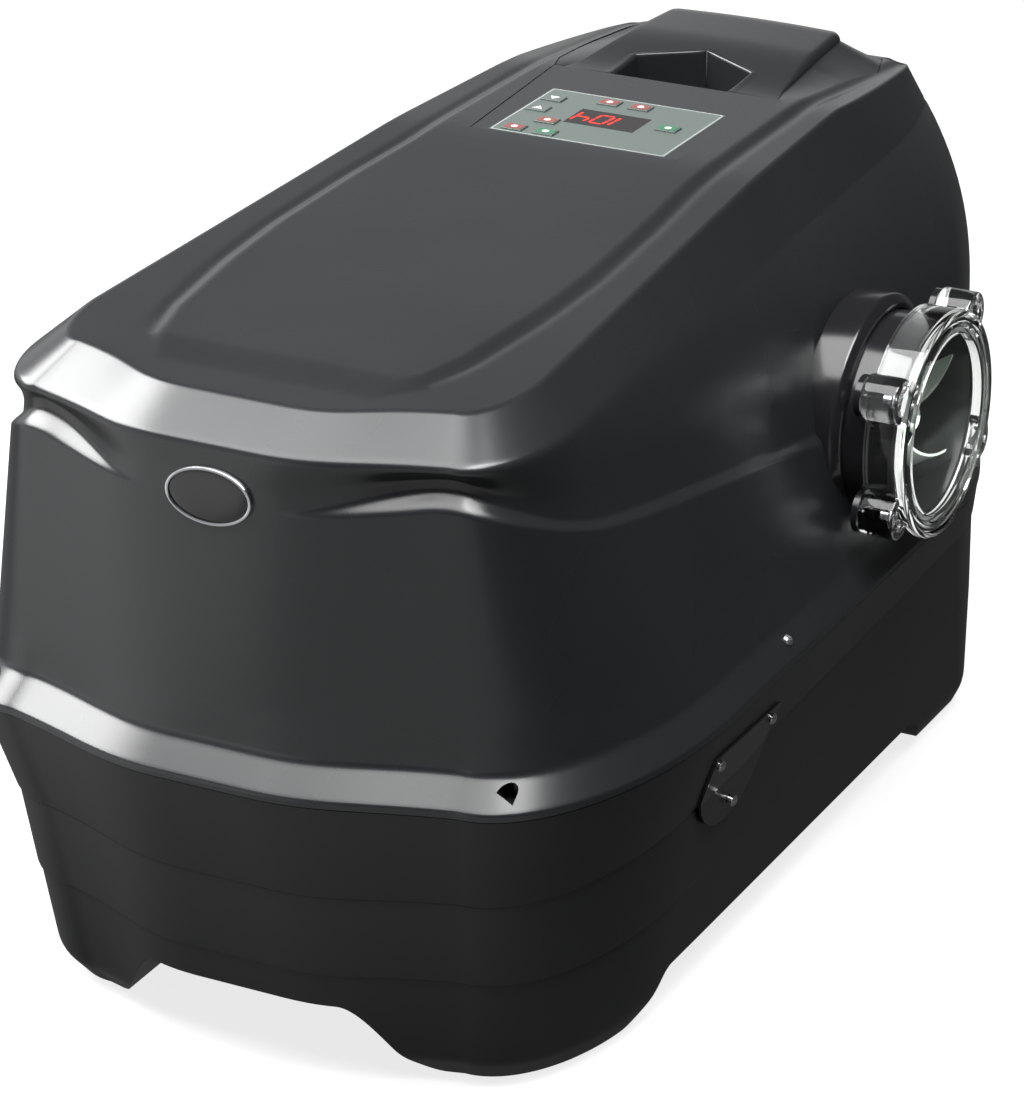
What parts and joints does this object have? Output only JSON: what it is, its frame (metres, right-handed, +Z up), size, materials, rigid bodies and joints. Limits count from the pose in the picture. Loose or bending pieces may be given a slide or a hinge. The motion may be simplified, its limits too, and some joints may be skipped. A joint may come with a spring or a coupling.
{
  "type": "spa heater and pump unit",
  "caption": "Moulded floor-standing base that heats, filters and aerates spa water, with a top control panel and a clear pump cover on one side.",
  "frame": {"origin": "centre of the bounding box in plan, on the floor", "axes": "+Z up, +Y towards the rear where the hose ports are, +X towards the side with the clear pump cover"},
  "size_m": [0.419, 0.687, 0.3875],
  "materials": {
    "casing_plastic": "satin",
    "clear_plastic": "gloss",
    "neck_plastic": "gloss",
    "rubber": "matt",
    "steel": "bright",
    "label_film": "satin",
    "display_lens": "gloss",
    "key_plastic": "satin",
    "badge_plastic": "gloss",
    "vane_plastic": "gloss",
    "inner_plastic": "matt",
    "hose_plastic": "gloss",
    "motor_metal": "satin",
    "sheet_steel": "brushed",
    "board": "satin",
    "copper": "satin"
  },
  "bodies": {
    "housing": {"base_tray": "casing_plastic", "foot_pads": "rubber", "upper_housing": "casing_plastic", "rear_hood": "casing_plastic", "badge": "badge_plastic", "housing_screws": "steel", "service_plate": "casing_plastic", "service_plate_screws": "steel", "panel_case": "casing_plastic", "panel_back": "inner_plastic", "panel_label": "label_film", "display_window": "display_lens", "control_board": "board", "pump_cover": "clear_plastic", "cover_o_ring": "rubber", "cover_screws": "steel", "pump_neck": "neck_plastic", "pump_volute": "inner_plastic", "shaft_seal": "rubber", "pump_motor": "motor_metal", "motor_fan_cowl": "inner_plastic", "motor_bracket": "sheet_steel", "heater_tube": "steel", "heater_cap_front": "inner_plastic", "heater_cap_rear": "inner_plastic", "heating_element": "steel", "thermal_cutout": "inner_plastic", "heater_clips": "inner_plastic", "hose_pump_to_heater": "hose_plastic", "flow_switch_body": "inner_plastic", "blower_housing": "inner_plastic", "blower_motor": "motor_metal", "blower_post": "inner_plastic", "check_valve_body": "inner_plastic", "cable_gland": "rubber", "power_case": "inner_plastic", "power_lid": "inner_plastic", "power_board": "board", "transformer": "copper", "terminal_block": "inner_plastic", "power_bracket": "sheet_steel", "water_inlet": "inner_plastic", "water_outlet": "inner_plastic", "air_port": "inner_plastic", "port_nuts": "inner_plastic"},
    "pump_rotor": {"impeller": "vane_plastic", "pump_shaft": "steel", "motor_rotor": "sheet_steel"},
    "blower_rotor": {"blower_fan": "inner_plastic", "blower_shaft": "steel"},
    "paddle": {"flow_paddle": "inner_plastic"},
    "valve_flap": {"check_valve_flap": "inner_plastic"},
    "button_power": {"button_power": "key_plastic"},
    "button_heater": {"button_heater": "key_plastic"},
    "button_up": {"button_up": "key_plastic"},
    "button_down": {"button_down": "key_plastic"},
    "button_timer": {"button_timer": "key_plastic"},
    "button_filter": {"button_filter": "key_plastic"},
    "button_bubbles": {"button_bubbles": "key_plastic"},
    "button_unit": {"button_unit": "key_plastic"}
  },
  "joints": [
    {"name": "pump_spin", "type": "hinge", "parent": "housing", "child": "pump_rotor", "pos_m": [0.0905, 0.0735, 0.253], "axis": [1, 0, 0], "continuous": true},
    {"name": "blower_spin", "type": "hinge", "parent": "housing", "child": "blower_rotor", "pos_m": [-0.0715, 0.2025, 0.152], "axis": [0, 0, 1], "continuous": true},
    {"name": "paddle_swing", "type": "hinge", "parent": "housing", "child": "paddle", "pos_m": [-0.1135, 0.0685, 0.1972], "axis": [1, 0, 0], "range_deg": [-40, 0]},
    {"name": "flap_swing", "type": "hinge", "parent": "housing", "child": "valve_flap", "pos_m": [-0.1055, 0.1135, 0.1716], "axis": [1, 0, 0], "range_deg": [-50, 0]},
    {"name": "button_power_press", "type": "slide", "parent": "housing", "child": "button_power", "axis": [0, 0, -1], "range_m": [0, 0.0006], "stiffness_N_per_m": 900},
    {"name": "button_heater_press", "type": "slide", "parent": "housing", "child": "button_heater", "axis": [0, 0, -1], "range_m": [0, 0.0006], "stiffness_N_per_m": 900},
    {"name": "button_up_press", "type": "slide", "parent": "housing", "child": "button_up", "axis": [0, 0, -1], "range_m": [0, 0.0006], "stiffness_N_per_m": 900},
    {"name": "button_down_press", "type": "slide", "parent": "housing", "child": "button_down", "axis": [0, 0, -1], "range_m": [0, 0.0006], "stiffness_N_per_m": 900},
    {"name": "button_timer_press", "type": "slide", "parent": "housing", "child": "button_timer", "axis": [0, 0, -1], "range_m": [0, 0.0006], "stiffness_N_per_m": 900},
    {"name": "button_filter_press", "type": "slide", "parent": "housing", "child": "button_filter", "axis": [0, 0, -1], "range_m": [0, 0.0006], "stiffness_N_per_m": 900},
    {"name": "button_bubbles_press", "type": "slide", "parent": "housing", "child": "button_bubbles", "axis": [0, 0, -1], "range_m": [0, 0.0006], "stiffness_N_per_m": 900},
    {"name": "button_unit_press", "type": "slide", "parent": "housing", "child": "button_unit", "axis": [0, 0, -1], "range_m": [0, 0.0006], "stiffness_N_per_m": 900}
  ]
}
